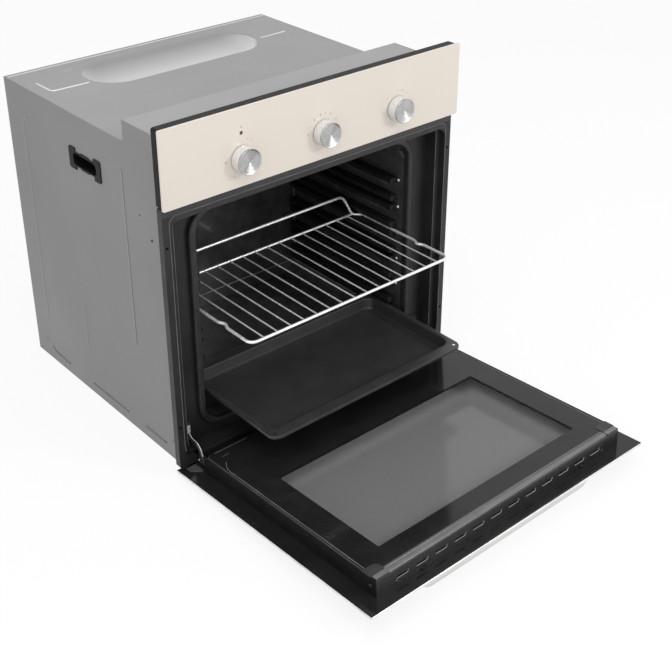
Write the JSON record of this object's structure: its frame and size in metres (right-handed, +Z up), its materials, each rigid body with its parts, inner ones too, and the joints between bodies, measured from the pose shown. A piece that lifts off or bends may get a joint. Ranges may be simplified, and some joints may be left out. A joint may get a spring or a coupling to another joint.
{
  "type": "built-in oven",
  "caption": "Built-in electric oven with drop-down glass door, bow handle, turned knobs on a cream glass panel, wire rack and enamelled tray.",
  "frame": {"origin": "Middle of the casing footprint on the underside of the base plate, where the oven stands in its housing", "axes": "+X to the right seen from the front, +Y from the door to the rear, +Z up"},
  "size_m": [0.595, 0.9643, 0.603],
  "materials": {
    "casing_steel": "satin",
    "top_steel": "satin",
    "black_frame": "satin",
    "enamel": "glossy enamel",
    "rubber": "matt",
    "wool": "matt mineral wool",
    "element_steel": "dull, heat darkened",
    "ceramic": "matt",
    "clear_glass": "clear",
    "bright_steel": "bright zinc",
    "switch_plastic": "matt",
    "black_plastic": "satin",
    "cream_glass": "gloss, back printed in warm cream",
    "black_glass": "gloss, back printed black round a dotted window",
    "inner_glass": "dark printed frame round a clear window",
    "lamp_red": "dark amber lens",
    "knob_metal": "turned face, satin side",
    "handle_metal": "satin silver",
    "chrome": "polished",
    "tray_enamel": "satin enamel",
    "pad": "matt"
  },
  "bodies": {
    "oven": {"side_panel_left": "casing_steel", "side_panel_right": "casing_steel", "top_cover": "top_steel", "control_box_cover": "top_steel", "rear_panel": "casing_steel", "base_plate": "casing_steel", "front_frame": "black_frame", "door_gasket": "rubber", "cavity_roof": "enamel", "cavity_floor": "enamel", "cavity_side_left": "enamel", "cavity_side_right": "enamel", "shelf_ribs_left": "enamel", "shelf_ribs_right": "enamel", "cavity_back": "enamel", "insulation": "wool", "grill_element": "element_steel", "lower_element": "element_steel", "lamp_holder": "ceramic", "lamp_bulb": "clear_glass", "lamp_lens": "clear_glass", "sensor_bulb": "bright_steel", "thermostat": "bright_steel", "function_switch": "switch_plastic", "timer_unit": "switch_plastic", "terminal_box": "black_plastic", "cable_gland": "black_plastic", "fascia_support": "black_plastic", "control_panel_glass": "cream_glass", "pilot_lamp": "lamp_red", "hand_grip_left": "black_plastic", "hand_grip_right": "black_plastic", "casing_screws": "bright_steel", "hinge_bracket_left": "bright_steel", "hinge_bracket_right": "bright_steel", "hinge_pin_left": "bright_steel", "hinge_pin_right": "bright_steel"},
    "door": {"hinge_leaf_left": "bright_steel", "hinge_leaf_right": "bright_steel", "door_outer_glass": "black_glass", "door_inner_glass": "inner_glass", "door_side_profile_left": "black_frame", "door_side_profile_right": "black_frame", "door_top_rail": "black_frame", "door_bottom_rail": "black_frame", "door_glass_pads": "pad", "door_side_screws": "bright_steel", "door_handle": "handle_metal", "handle_bolts": "bright_steel"},
    "rack": {"wire_rack": "chrome"},
    "tray": {"baking_tray": "tray_enamel"},
    "temperature_control": {"temperature_knob": "knob_metal", "temperature_shaft": "bright_steel"},
    "function_control": {"function_knob": "knob_metal", "function_shaft": "bright_steel"},
    "timer_control": {"timer_knob": "knob_metal", "timer_shaft": "bright_steel"}
  },
  "joints": [
    {"name": "door_hinge", "type": "hinge", "parent": "oven", "child": "door", "pos_m": [0, -0.257, 0.0175], "axis": [-1, 0, 0], "range_deg": [0, 86.5]},
    {"name": "rack_slide", "type": "slide", "parent": "oven", "child": "rack", "axis": [0, 1, 0], "range_m": [0, 0.138]},
    {"name": "tray_slide", "type": "slide", "parent": "oven", "child": "tray", "axis": [0, 1, 0], "range_m": [0, 0.19]},
    {"name": "temperature_turn", "type": "hinge", "parent": "oven", "child": "temperature_control", "pos_m": [-0.156, -0.275, 0.524], "axis": [0, 1, 0], "range_deg": [0, 270]},
    {"name": "function_turn", "type": "hinge", "parent": "oven", "child": "function_control", "pos_m": [0, -0.275, 0.524], "axis": [0, 1, 0], "range_deg": [0, 300]},
    {"name": "timer_turn", "type": "hinge", "parent": "oven", "child": "timer_control", "pos_m": [0.156, -0.275, 0.524], "axis": [0, 1, 0], "range_deg": [0, 330]}
  ],
  "couplings": [
    {"joint": "rack_slide", "follows": "door_hinge", "m_per_rad": 0.0914},
    {"joint": "tray_slide", "follows": "door_hinge", "m_per_rad": 0.1258}
  ]
}
